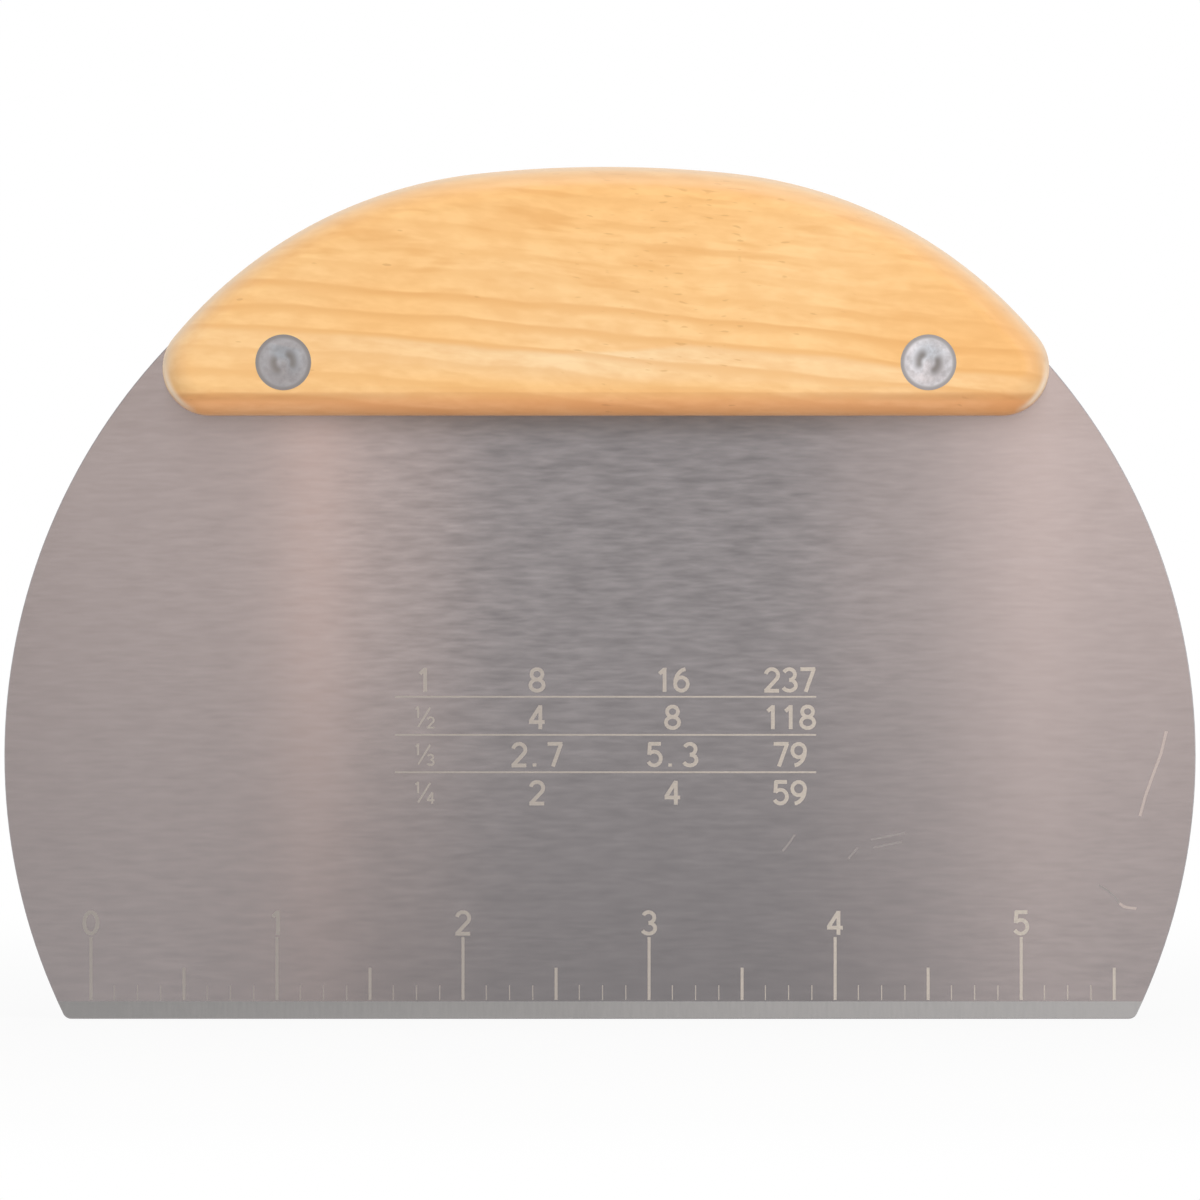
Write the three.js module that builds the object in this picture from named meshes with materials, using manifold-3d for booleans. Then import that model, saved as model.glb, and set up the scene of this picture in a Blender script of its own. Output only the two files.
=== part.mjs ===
// Half-moon dough scraper. A steel disc, cut straight along its scraping edge, sits in the saw kerf of a
// one-piece beech handle. Two cutlery rivets hold it there, each a post pressed into a sleeve.
//
// Units are millimetres. Pieces are drawn in a plane with x to the right, y up from the scraping edge and z
// towards the front. The exported group stands that plane upright: +Z is up and the front faces -Y.

import * as THREE from 'three';
import { mergeVertices } from 'three/addons/utils/BufferGeometryUtils.js';
import Module from 'manifold-3d';

const wasm = await Module();
wasm.setup();

// Blade: a disc with its lower part cut away along the scraping edge
const BLADE_RADIUS = 81.3;
const BLADE_CENTRE_HEIGHT = 35.9; // disc's centre above the scraping edge
const BLADE_THICKNESS = 1.0;
const EDGE_CORNER_RADIUS = 1.2; // at both ends of the scraping edge
const GRIND_HEIGHT = 2.4; // ground band above the scraping edge
const GRIND_LAND = 0.4; // thickness left at the scraping edge

// Handle: a three-centred arch on a straight underside, with rolled edges
const HANDLE_LENGTH = 120.8;
const HANDLE_HEIGHT = 33.9;
const HANDLE_THICKNESS = 18;
const HANDLE_BASE_HEIGHT = 82.4; // underside above the scraping edge
const HANDLE_OFFSET = 0.8; // handle's middle to the right of the blade's, as it was riveted
const SHOULDER_RADIUS = 62.5;
const CROWN_HALF_ANGLE = THREE.MathUtils.degToRad(6.1);
const NOSE_RADIUS = 6.5;
const ROLLED_EDGE_RADIUS = 4;

// Kerf that holds the blade
const KERF_DEPTH = 20;
const KERF_SIDE_CLEARANCE = 0.1;
const KERF_END_CLEARANCE = 0.4; // above the tang

// Rivets: posts enter from the front and sleeves from the back
const RIVET_INSET = 16.5; // from the handle's end to the rivet's axis
const RIVET_HEIGHT = 7.3; // above the handle's underside
const HEAD_DIAMETER = 7.4;
const HEAD_THICKNESS = 1.6;
const HEAD_RIM_CHAMFER = 0.25;
const PUNCH_MOUTH_DIAMETER = 3.8; // the setting punch's mark in each head
const PUNCH_FLOOR_DIAMETER = 1.8;
const PUNCH_DEPTH = 0.45;
const SLEEVE_DIAMETER = 5.0;
const POST_DIAMETER = 3.2;
const POST_TIP_CHAMFER = 0.4;
const POST_CLEARANCE = 0.05; // radial, in the sleeve
const BOTTOMING_GAP = 0.4; // past the post's tip, and from the sleeve's mouth to the post's head
const SLEEVE_FLOOR = 1.0; // metal between the sleeve's bore and its punch mark
const BORE_CLEARANCE = 0.1; // round a rivet and under its heads

// Facets
const DISC_SEGMENTS = 56; // facets in each of the blade's two long arcs
const CORNER_SEGMENTS = 6; // facets in each corner of the scraping edge
const OUTLINE_SEGMENTS = 12; // pairs of facets in each of the handle's arcs
const ROLLED_EDGE_SEGMENTS = 8;
const RIVET_SEGMENTS = 48;
const CUT_MARGIN = 5; // how far a cutting tool runs past what it cuts
const MERGE_TOLERANCE = 1e-4; // corners closer than this are one corner

const MATERIALS = {
  brushedSteel: new THREE.MeshStandardMaterial({ color: 0xa39b98, roughness: 0.38, metalness: 1 }),
  oiledBeech: new THREE.MeshStandardMaterial({ color: 0xf2bf80, roughness: 0.55, metalness: 0 }),
  aluminium: new THREE.MeshStandardMaterial({ color: 0xb9bcc2, roughness: 0.32, metalness: 1 }),
};

// Solids: closed geometry to a manifold and back

function toSolid(geometry) {
  const bare = geometry.clone();
  bare.deleteAttribute('normal');
  bare.deleteAttribute('uv');
  const merged = mergeVertices(bare, MERGE_TOLERANCE);
  return new wasm.Manifold(
    new wasm.Mesh({
      numProp: 3,
      vertProperties: new Float32Array(merged.attributes.position.array),
      triVerts: new Uint32Array(merged.index.array),
    }),
  );
}

function toGeometry(solid) {
  const mesh = solid.getMesh();
  const indexed = new THREE.BufferGeometry();
  indexed.setAttribute('position', new THREE.BufferAttribute(mesh.vertProperties, mesh.numProp));
  indexed.setIndex(new THREE.BufferAttribute(mesh.triVerts, 1));
  const faceted = indexed.toNonIndexed();
  faceted.computeVertexNormals();
  return faceted;
}

// A shape extruded so that its thickness is centred on the drawing plane. A round hole in it gets twice
// curveSegments facets, as many as a rivet has.
function centredExtrusion(shape, thickness) {
  const settings = { depth: thickness, bevelEnabled: false, curveSegments: RIVET_SEGMENTS / 2 };
  const geometry = new THREE.ExtrudeGeometry(shape, settings);
  return geometry.translate(0, 0, -thickness / 2);
}

// A profile of radius and height, turned about the z axis
function turned(profile) {
  return new THREE.LatheGeometry(profile, RIVET_SEGMENTS).rotateX(Math.PI / 2);
}

// Blade

const tangTop = HANDLE_BASE_HEIGHT + KERF_DEPTH - KERF_END_CLEARANCE;
const rivetY = HANDLE_BASE_HEIGHT + RIVET_HEIGHT;
const rivetReach = HANDLE_LENGTH / 2 - RIVET_INSET;
const rivetXs = { left: -rivetReach, right: rivetReach }; // from the handle's middle

function arcPoints(centre, radius, from, to, segments) {
  return new THREE.EllipseCurve(centre.x, centre.y, radius, radius, from, to).getPoints(segments);
}

function bladeOutline() {
  const corner = new THREE.Vector2(0, EDGE_CORNER_RADIUS);
  const cornerDrop = BLADE_CENTRE_HEIGHT - EDGE_CORNER_RADIUS;
  corner.x = Math.sqrt((BLADE_RADIUS - EDGE_CORNER_RADIUS) ** 2 - cornerDrop ** 2);
  const cornerAngle = -Math.atan2(cornerDrop, corner.x);
  const tangAngle = Math.asin((tangTop - BLADE_CENTRE_HEIGHT) / BLADE_RADIUS);

  const disc = new THREE.Vector2(0, BLADE_CENTRE_HEIGHT);
  const rightHalf = [
    ...arcPoints(corner, EDGE_CORNER_RADIUS, -Math.PI / 2, cornerAngle, CORNER_SEGMENTS).slice(0, -1),
    ...arcPoints(disc, BLADE_RADIUS, cornerAngle, tangAngle, DISC_SEGMENTS),
  ];
  const leftHalf = rightHalf.map((p) => new THREE.Vector2(-p.x, p.y)).reverse();
  return new THREE.Shape([...rightHalf, ...leftHalf]);
}

function rivetHoles() {
  const holeRadius = SLEEVE_DIAMETER / 2 + BORE_CLEARANCE;
  return Object.values(rivetXs).map((x) =>
    new THREE.Path().absarc(HANDLE_OFFSET + x, rivetY, holeRadius, 0, 2 * Math.PI, true),
  );
}

// The blade seen from its end: a strip that narrows to the land over the ground band
function groundSection() {
  const half = BLADE_THICKNESS / 2;
  const land = GRIND_LAND / 2;
  const section = new THREE.Shape();
  section.moveTo(-land, 0);
  section.lineTo(land, 0);
  section.lineTo(half, GRIND_HEIGHT);
  section.lineTo(half, tangTop + CUT_MARGIN);
  section.lineTo(-half, tangTop + CUT_MARGIN);
  section.lineTo(-half, GRIND_HEIGHT);
  section.closePath();
  return section;
}

function bladeGeometry() {
  const outline = bladeOutline();
  outline.holes.push(...rivetHoles());
  const blank = centredExtrusion(outline, BLADE_THICKNESS + 2 * CUT_MARGIN);
  const ground = centredExtrusion(groundSection(), 2 * (BLADE_RADIUS + CUT_MARGIN)).rotateY(Math.PI / 2);
  return toGeometry(toSolid(blank).intersect(toSolid(ground)));
}

// Handle

// Each shoulder arc is tangent inside the crown arc and outside the nose arc. With its centre at (x, y), the
// crown's top gives y + x tan(half angle / 2) = height - radius, and the nose gives the distance between the
// two centres.
function shoulderCentre(nose) {
  const slope = Math.tan(CROWN_HALF_ANGLE / 2);
  const rise = HANDLE_HEIGHT - SHOULDER_RADIUS - nose.y;
  const reach = SHOULDER_RADIUS - NOSE_RADIUS;
  const a = 1 + slope ** 2;
  const b = -2 * (nose.x + slope * rise);
  const c = nose.x ** 2 + rise ** 2 - reach ** 2;
  const x = (-b - Math.sqrt(b ** 2 - 4 * a * c)) / (2 * a);
  return new THREE.Vector2(x, HANDLE_HEIGHT - SHOULDER_RADIUS - slope * x);
}

function handleOutline() {
  const nose = new THREE.Vector2(HANDLE_LENGTH / 2 - NOSE_RADIUS, NOSE_RADIUS);
  const shoulder = shoulderCentre(nose);
  const crownRadius = SHOULDER_RADIUS + shoulder.x / Math.sin(CROWN_HALF_ANGLE);
  const noseAngle = Math.atan2(nose.y - shoulder.y, nose.x - shoulder.x);
  const crownAngle = Math.PI / 2 - CROWN_HALF_ANGLE;

  const outline = new THREE.Shape();
  outline.absarc(nose.x, nose.y, NOSE_RADIUS, -Math.PI / 2, noseAngle);
  outline.absarc(shoulder.x, shoulder.y, SHOULDER_RADIUS, noseAngle, crownAngle);
  outline.absarc(0, HANDLE_HEIGHT - crownRadius, crownRadius, crownAngle, Math.PI - crownAngle);
  outline.absarc(-shoulder.x, shoulder.y, SHOULDER_RADIUS, Math.PI - crownAngle, Math.PI - noseAngle);
  outline.absarc(-nose.x, nose.y, NOSE_RADIUS, Math.PI - noseAngle, 1.5 * Math.PI);
  outline.closePath();
  return outline;
}

function handleBlank() {
  const blank = new THREE.ExtrudeGeometry(handleOutline(), {
    depth: HANDLE_THICKNESS - 2 * ROLLED_EDGE_RADIUS,
    curveSegments: OUTLINE_SEGMENTS,
    bevelThickness: ROLLED_EDGE_RADIUS,
    bevelSize: ROLLED_EDGE_RADIUS,
    bevelOffset: -ROLLED_EDGE_RADIUS,
    bevelSegments: ROLLED_EDGE_SEGMENTS,
  });
  return blank.translate(0, 0, ROLLED_EDGE_RADIUS - HANDLE_THICKNESS / 2);
}

// The saw runs the whole length of the handle, so the kerf is open at both noses
function kerfCutter() {
  const width = BLADE_THICKNESS + 2 * KERF_SIDE_CLEARANCE;
  const cutter = new THREE.BoxGeometry(HANDLE_LENGTH + 2 * CUT_MARGIN, KERF_DEPTH + CUT_MARGIN, width);
  return cutter.translate(0, (KERF_DEPTH - CUT_MARGIN) / 2, 0);
}

// Rivets

const faceZ = HANDLE_THICKNESS / 2; // rivet heads lie flush with the handle's faces
const headSeatZ = faceZ - HEAD_THICKNESS;
const punchFloorZ = faceZ - PUNCH_DEPTH;
const sleeveBoreEndZ = punchFloorZ - SLEEVE_FLOOR;

function point(radius, z) {
  return new THREE.Vector2(radius, z);
}

// The head, from its underside round the rim to the middle of the punch mark, which has sloped walls
function headProfile() {
  const radius = HEAD_DIAMETER / 2;
  return [
    point(radius, headSeatZ),
    point(radius, faceZ - HEAD_RIM_CHAMFER),
    point(radius - HEAD_RIM_CHAMFER, faceZ),
    point(PUNCH_MOUTH_DIAMETER / 2, faceZ),
    point(PUNCH_FLOOR_DIAMETER / 2, punchFloorZ),
    point(0, punchFloorZ),
  ];
}

function postGeometry() {
  const radius = POST_DIAMETER / 2;
  const tipZ = BOTTOMING_GAP - sleeveBoreEndZ;
  return turned([
    point(0, tipZ),
    point(radius - POST_TIP_CHAMFER, tipZ),
    point(radius, tipZ + POST_TIP_CHAMFER),
    point(radius, headSeatZ),
    ...headProfile(),
  ]);
}

// Drawn with its head to the front, and turned round when it is placed
function sleeveGeometry() {
  const boreRadius = POST_DIAMETER / 2 + POST_CLEARANCE;
  const outerRadius = SLEEVE_DIAMETER / 2;
  const mouthZ = BOTTOMING_GAP - headSeatZ;
  return turned([
    point(0, sleeveBoreEndZ),
    point(boreRadius, sleeveBoreEndZ),
    point(boreRadius, mouthZ),
    point(outerRadius, mouthZ),
    point(outerRadius, headSeatZ),
    ...headProfile(),
  ]);
}

// The stepped hole in the wood: a clearance bore with a counterbore for a head at each face
function rivetBoreCutter() {
  const headRadius = HEAD_DIAMETER / 2 + BORE_CLEARANCE;
  const sleeveRadius = SLEEVE_DIAMETER / 2 + BORE_CLEARANCE;
  const counterboreZ = headSeatZ - BORE_CLEARANCE;
  const endZ = faceZ + CUT_MARGIN;
  return turned([
    point(0, -endZ),
    point(headRadius, -endZ),
    point(headRadius, -counterboreZ),
    point(sleeveRadius, -counterboreZ),
    point(sleeveRadius, counterboreZ),
    point(headRadius, counterboreZ),
    point(headRadius, endZ),
    point(0, endZ),
  ]);
}

function handleGeometry() {
  let wood = toSolid(handleBlank()).subtract(toSolid(kerfCutter()));
  for (const x of Object.values(rivetXs)) {
    wood = wood.subtract(toSolid(rivetBoreCutter().translate(x, RIVET_HEIGHT, 0)));
  }
  return toGeometry(wood);
}

// Assembly

function piece(name, geometry, material) {
  const mesh = new THREE.Mesh(geometry, material);
  mesh.name = name;
  return mesh;
}

const scraper = new THREE.Group();
scraper.rotation.x = Math.PI / 2;
scraper.add(piece('blade', bladeGeometry(), MATERIALS.brushedSteel));

const grip = new THREE.Group();
grip.position.set(HANDLE_OFFSET, HANDLE_BASE_HEIGHT, 0);
grip.add(piece('handle', handleGeometry(), MATERIALS.oiledBeech));
for (const [side, x] of Object.entries(rivetXs)) {
  const rivet = new THREE.Group();
  rivet.position.set(x, RIVET_HEIGHT, 0);
  rivet.add(piece(`${side}_rivet_post`, postGeometry(), MATERIALS.aluminium));
  const sleeve = piece(`${side}_rivet_sleeve`, sleeveGeometry(), MATERIALS.aluminium);
  sleeve.rotation.y = Math.PI;
  rivet.add(sleeve);
  grip.add(rivet);
}
scraper.add(grip);

const part = new THREE.Group();
part.add(scraper);

export default part;
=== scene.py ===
"""Dresses a half-moon dough scraper: brushed blade, beech handle, rivets, etched scale and studio stage."""

import math
from functools import partial

import bmesh
import bpy
from bpy.props import FloatProperty, FloatVectorProperty, IntProperty, PointerProperty
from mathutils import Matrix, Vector


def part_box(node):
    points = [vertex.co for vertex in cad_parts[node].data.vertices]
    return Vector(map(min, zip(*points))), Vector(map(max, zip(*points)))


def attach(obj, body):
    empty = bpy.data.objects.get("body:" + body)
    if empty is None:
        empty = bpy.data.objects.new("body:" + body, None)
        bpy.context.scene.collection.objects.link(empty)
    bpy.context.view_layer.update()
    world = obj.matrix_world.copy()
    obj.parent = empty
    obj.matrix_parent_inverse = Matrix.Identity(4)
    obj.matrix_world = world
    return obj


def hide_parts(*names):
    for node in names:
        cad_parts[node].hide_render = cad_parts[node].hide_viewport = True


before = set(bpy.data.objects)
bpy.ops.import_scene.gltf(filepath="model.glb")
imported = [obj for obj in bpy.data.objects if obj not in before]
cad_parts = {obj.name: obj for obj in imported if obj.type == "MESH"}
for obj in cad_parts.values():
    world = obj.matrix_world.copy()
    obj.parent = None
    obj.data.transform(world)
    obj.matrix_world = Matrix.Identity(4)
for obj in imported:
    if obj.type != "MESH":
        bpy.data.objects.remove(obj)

bl_info = {
    "name": "Dough scraper",
    "version": (1, 0, 0),
    "blender": (4, 5, 0),
    "location": "3D View > Sidebar > Scraper",
    "description": "Dresses a half-moon dough scraper and its studio stage",
    "category": "Object",
}

MM = 0.001
INCH = 25.4 * MM
RIVET_NODES = ("left_rivet_post", "left_rivet_sleeve", "right_rivet_post", "right_rivet_sleeve")

BLADE_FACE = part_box("blade")[0].y
HANDLE_LOW, HANDLE_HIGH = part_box("handle")
HANDLE_MIDDLE = (HANDLE_LOW.x + HANDLE_HIGH.x) / 2
RIVET_LOW, RIVET_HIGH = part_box("right_rivet_post")
RIVET_CENTRE = (RIVET_LOW + RIVET_HIGH) / 2
RIVET_REACH = RIVET_CENTRE.x - HANDLE_MIDDLE
HEAD_RADIUS = (RIVET_HIGH.x - RIVET_LOW.x) / 2


def linear(hex_colour):
    """The linear colour of an sRGB hex value such as #F2C084."""
    channels = [int(hex_colour[i : i + 2], 16) / 255 for i in (1, 3, 5)]
    return tuple(c / 12.92 if c <= 0.04045 else ((c + 0.055) / 1.055) ** 2.4 for c in channels)


def colour_property(name, description, hex_colour):
    """A colour picker whose default is an sRGB hex value."""
    return FloatVectorProperty(
        name=name, description=description, subtype="COLOR", size=3, min=0, max=1, default=linear(hex_colour)
    )


def length_property(name, description, default):
    """A length in metres."""
    return FloatProperty(
        name=name, description=description, unit="LENGTH", subtype="DISTANCE", precision=5, default=default
    )


class BladeSettings(bpy.types.PropertyGroup):
    """Finish of the blade."""

    steel: colour_property("Steel", "Colour of the brushed faces", "#A09B9C")
    ground_steel: colour_property("Ground steel", "Colour of the ground band along the edge", "#A5A3A2")
    # Painted shade: the colour painted in the angle under the handle
    grime: colour_property("Grime", "Colour of the oily film in the angle under the handle", "#5C5047")
    edge_break: length_property("Edge break", "Width of the broken edge round the blade", 0.12 * MM)
    brush_height: length_property("Brush line height", "Height of one brush line", 1.0 * MM)
    brush_length: length_property("Brush line length", "Length of one brush line", 5.5 * MM)
    # Painted shade: how far the shade painted under the handle reaches
    grime_height: length_property("Grime height", "How far the film reaches below the handle", 4.5 * MM)


class HandleSettings(bpy.types.PropertyGroup):
    """Finish of the handle."""

    pale_wood: colour_property("Pale wood", "Colour of the palest growth, low on the handle", "#FDDFAE")
    early_wood: colour_property("Early wood", "Colour of the wood between the rings", "#FDD394")
    warm_wood: colour_property("Warm wood", "Colour that the early wood drifts to", "#FBC881")
    ring_wood: colour_property("Ring line", "Colour of the late wood at a growth ring", "#E2A459")
    fleck: colour_property("Ray fleck", "Colour of the short ray flecks", "#D09A58")
    # Painted shade: the darker colour painted on the start of the rolled edges
    handled: colour_property("Handled wood", "Colour that hands give the start of rolled edges", "#D2A06E")
    # Painted sheen: the paler colour painted on the outermost edges, for the white surroundings that they
    # reflect
    dulled: colour_property("Dulled wood", "Colour of the outermost edges, which wear has dulled", "#DBC3A7")
    # Painted highlight: the pale colour painted along the lower corners of the ends
    rubbed: colour_property("Rubbed wood", "Colour of the lower corners, which are rubbed pale", "#FFEBD2")
    # Painted shade: the darker, redder tint painted on the underside
    oil: colour_property("Oil tint", "Tint of the underside, where oil has soaked in", "#FEE9EC")
    ring_spacing: length_property("Ring spacing", "Distance between growth rings", 3.1 * MM)
    ring_height: length_property("Ring height", "Height of one ring at the left end", 98.5 * MM)
    fleck_length: length_property("Fleck length", "Length of one ray fleck", 2.0 * MM)
    # Painted shade: how far the painted underside tint reaches
    oil_height: length_property("Oil height", "How far the oil tint reaches above the underside", 3.4 * MM)


class RivetSettings(bpy.types.PropertyGroup):
    """Finish of the rivets."""

    bright: colour_property("Bright aluminium", "Colour of the right rivet's head", "#CFD2D8")
    # Painted shade: the left head's colour is darker than the right one's, in place of weaker light on it
    dull: colour_property("Dull aluminium", "Colour of the left rivet's head, which has dulled", "#A9ACB1")
    # Painted shade and dirt: this colour paints shade in the punch mark and round the rim, and dirt in the
    # scuffs
    grime: colour_property("Grime", "Colour of the dirt in the punch mark and round the rim", "#7A7571")
    turning: length_property("Turning mark", "Distance between turning marks on a head", 0.25 * MM)
    rim: length_property("Rim", "Depth over which riveting has pressed each head's rim flat", 0.4 * MM)
    swell: length_property("Swell", "How far riveting has spread each head's rim", 0.09 * MM)


class ScaleSettings(bpy.types.PropertyGroup):
    """The inch scale and the number table that are etched on the blade."""

    etch: colour_property("Etch", "Colour of the etched marks", "#CBC4BA")
    # Painted shade: the marks' colour at the left, where they are painted darker
    worn_etch: colour_property("Worn etch", "Colour of the marks at the left, where they are worn", "#AAA5A0")
    zero: length_property("Zero", "Place of the first mark, from the middle of the blade", -69.5 * MM)
    foot: length_property("Foot", "Height of the marks' lower ends above the scraping edge", 2.6 * MM)
    divisions: IntProperty(name="Divisions", description="Marks in one inch", default=8, min=2)
    marks: IntProperty(name="Marks", description="Marks on the scale", default=45, min=2)
    inch_mark: length_property("Inch mark", "Length of a mark at a whole inch", 8.6 * MM)
    half_mark: length_property("Half mark", "Length of a mark at a half inch", 4.4 * MM)
    small_mark: length_property("Small mark", "Length of the other marks", 2.0 * MM)
    mark_width: length_property("Mark width", "Width of the marks at inches and half inches", 0.4 * MM)
    small_width: length_property("Small mark width", "Width of the other marks", 0.12 * MM)
    stroke_width: length_property("Stroke width", "Width of the strokes of the numbers", 0.51 * MM)
    fraction_width: length_property("Fraction stroke width", "Width of the strokes of fractions", 0.26 * MM)
    number_height: length_property("Number height", "Height of the numbers, from stroke to stroke", 2.95 * MM)
    number_gap: length_property("Number gap", "From an inch mark to its number", 0.45 * MM)
    rule_width: length_property("Rule width", "Width of the lines of the table", 0.22 * MM)
    etch_depth: length_property("Etch thickness", "Thickness of the mesh of a mark", 0.03 * MM)


class ScratchSettings(bpy.types.PropertyGroup):
    """Wear on the blade."""

    scratch: colour_property("Scratch", "Colour of the bare steel in a scratch", "#BFB4AF")
    scuff: colour_property("Scuff", "Colour of a light scuff", "#A09B9A")
    scratch_width: length_property("Scratch width", "Width of a scratch", 0.36 * MM)
    scuff_width: length_property("Scuff width", "Width of a lighter scuff", 0.26 * MM)
    scratch_depth: length_property("Scratch thickness", "Thickness of the mesh of a scratch", 0.02 * MM)


class StageSettings(bpy.types.PropertyGroup):
    """Floor, lamps and camera."""

    floor: colour_property("Floor", "Colour that the floor throws back on the scraper", "#C4C4C4")
    distance: length_property("Camera distance", "From the camera to the blade", 3.0)
    azimuth: FloatProperty(
        name="Azimuth",
        description="Camera's turn round the blade",
        subtype="ANGLE",
        default=0.0,
    )
    elevation: FloatProperty(
        name="Elevation",
        description="Camera's height above the horizon",
        subtype="ANGLE",
        default=math.radians(1.0),
    )
    aim_height: length_property("Aim height", "Height of the picture's centre above the edge", 57.2 * MM)
    frame_width: length_property("Frame width", "Width of the picture at the blade", 163.8 * MM)


# Limits of a Map Range node: what goes from the first to the second comes out from the third to the fourth.
# The named ranges below are given in this order, and a range of only two values comes out from 0 to 1.
RANGE = ("From Min", "From Max", "To Min", "To Max")


def add_node(tree, kind, inputs=None, **settings):
    """Adds a node with its settings, gives its inputs values or links, and returns its first output in use.

    A tuple of names, such as RANGE, sets several inputs from a tuple of values.
    """
    node = tree.nodes.new(kind)
    for key, value in settings.items():
        setattr(node, key, value)
    for key, value in (inputs or {}).items():
        pairs = zip(key, value) if isinstance(key, tuple) else [(key, value)]
        for name, given in pairs:
            if isinstance(given, bpy.types.NodeSocket):
                tree.links.new(given, node.inputs[name])
            else:
                node.inputs[name].default_value = given
    return next((socket for socket in node.outputs if socket.enabled), None)


def add_material(name):
    """A material with an empty tree, and a function that adds nodes to it."""
    material = bpy.data.materials.new(name)
    material.use_nodes = True
    material.node_tree.nodes.clear()
    return material, partial(add_node, material.node_tree)


def with_alpha(colour, brightness=1.0):
    """A colour as a node's four channels, made brighter or darker."""
    return (*(brightness * c for c in colour), 1.0)


def per_metre(*sizes):
    """How many grains of the given sizes fit in a metre along each axis."""
    return [1 / size for size in sizes]


# Depth of the finest marks in the metals
MARK_DEPTH = 0.02 * MM

# Brushed steel: a line's size through the blade, how much smaller the fine lines are, and their share. Then
# where the lines are clear, by height and by distance from the middle, and how they swing shade and gloss
BRUSH_DEPTH = 4 * MM
FINE_SCALE = 2.5
FINE_SHARE = 0.4
BRUSH_HEIGHTS = (30 * MM, 65 * MM, 0.6, 1.0)
BRUSH_REACH = (20 * MM, 45 * MM, 1.0, 0.4)
BRUSH_SWING = (0.28, 0.72, -0.5, 0.5)
BRUSH_SHADES = (0.8, 1.2)
MIDDLE_SHADE = 0.5
BRUSH_ROUGHNESS = (0.25, 0.75, 0.17, 0.22)
# Where the middle of the blade is painted darker towards the scraping edge, and where painted shade lies
# under the handle
EDGE_SHADE_HEIGHTS = (0.0, 50 * MM, 0.65, 0.0)
EDGE_SHADE_REACH = (30 * MM, 60 * MM, 1.0, 0.0)
EDGE_SHADE = 0.7
HANDLE_SHADE_REACH = (20 * MM, 60 * MM, 0.46, 0.08)


def brushed_steel(settings):
    """Stainless sheet, brushed along the edge: level lines that draw each lamp out into a tall, soft band."""
    material, add = add_material("Brushed stainless steel")
    place = add("ShaderNodeTexCoord").node.outputs["Object"]
    axes = add("ShaderNodeSeparateXYZ", {"Vector": place}).node.outputs

    # The lines are drawn coarser than the grit that made them, so that they show
    grain = per_metre(settings.brush_length, BRUSH_DEPTH, settings.brush_height)
    brush = add("ShaderNodeMapping", {"Vector": place, "Scale": grain})
    coarse = add("ShaderNodeTexNoise", {"Vector": brush, "Scale": 1.0, "Detail": 1.0})
    fine = add("ShaderNodeTexNoise", {"Vector": brush, "Scale": FINE_SCALE, "Detail": 2.0})
    lines = add("ShaderNodeMix", {"Factor": FINE_SHARE, "A": coarse, "B": fine})

    # Painted reflection: their colour contrast is strongest in the upper middle, where the steel mirrors
    # darker surroundings, and fades towards the edge and the sides
    upper = add("ShaderNodeMapRange", {"Value": axes["Z"], RANGE: BRUSH_HEIGHTS})
    aside = add("ShaderNodeMath", {0: axes["X"]}, operation="ABSOLUTE")
    middle = add("ShaderNodeMapRange", {"Value": aside, RANGE: BRUSH_REACH})
    clear = add("ShaderNodeMath", {0: upper, 1: middle}, operation="MULTIPLY")
    swing = add("ShaderNodeMapRange", {"Value": lines, RANGE: BRUSH_SWING})
    shade = add("ShaderNodeMath", {0: swing, 1: clear, 2: MIDDLE_SHADE}, operation="MULTIPLY_ADD")

    # Painted shade: the middle of the blade is coloured darker towards the scraping edge
    low = add("ShaderNodeMapRange", {"Value": axes["Z"], RANGE: EDGE_SHADE_HEIGHTS})
    central = add("ShaderNodeMapRange", {"Value": aside, RANGE: EDGE_SHADE_REACH})
    dulled = add("ShaderNodeMath", {0: low, 1: central}, operation="MULTIPLY")

    # Painted shade: the steel is coloured darker in the angle under the handle
    from_middle = add("ShaderNodeMath", {0: axes["X"], 1: HANDLE_MIDDLE}, operation="SUBTRACT")
    reach = add("ShaderNodeMath", {0: from_middle}, operation="ABSOLUTE")
    covered = add("ShaderNodeMapRange", {"Value": reach, RANGE: HANDLE_SHADE_REACH})
    heights = (HANDLE_LOW.z - settings.grime_height, HANDLE_LOW.z)
    handle_shade = add("ShaderNodeMapRange", {"Value": axes["Z"], RANGE: heights}, interpolation_type="SMOOTHSTEP")
    handle_shade = add("ShaderNodeMath", {0: handle_shade, 1: covered}, operation="MULTIPLY")

    colour, bright = (with_alpha(settings.steel, brightness) for brightness in BRUSH_SHADES)
    layers = (
        (shade, bright),
        (dulled, with_alpha(settings.steel, EDGE_SHADE)),
        (handle_shade, with_alpha(settings.grime)),
    )
    for factor, tone in layers:
        colour = add("ShaderNodeMix", {"Factor": factor, "A": colour, "B": tone}, data_type="RGBA")
    roughness = add("ShaderNodeMapRange", {"Value": lines, RANGE: BRUSH_ROUGHNESS})
    bump = add("ShaderNodeBump", {"Height": lines, "Strength": 0.12, "Distance": MARK_DEPTH})
    upright = add(
        "ShaderNodeVectorTransform",
        {"Vector": (0.0, 0.0, 1.0)},
        vector_type="VECTOR",
        convert_from="OBJECT",
        convert_to="WORLD",
    )
    surface = add(
        "ShaderNodeBsdfPrincipled",
        {
            "Base Color": colour,
            "Metallic": 1.0,
            "Roughness": roughness,
            "Anisotropic": 1.0,
            "Tangent": upright,
            "Normal": bump,
        },
    )
    add("ShaderNodeOutputMaterial", {"Surface": surface})
    return material


# Ground steel: size of one mark of the wheel, where along the edge it is painted from darker to lighter, and
# how streaked it is
WHEEL_MARK = (0.4 * MM, 4 * MM, 3 * MM)
GROUND_LIGHTING = (-70 * MM, 70 * MM)
GROUND_STREAKS = (0.3, 0.7, -0.15, 0.15)
GROUND_SHADES = (0.82, 1.18)
GROUND_ROUGHNESS = (0.3, 0.7, 0.38, 0.5)


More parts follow.
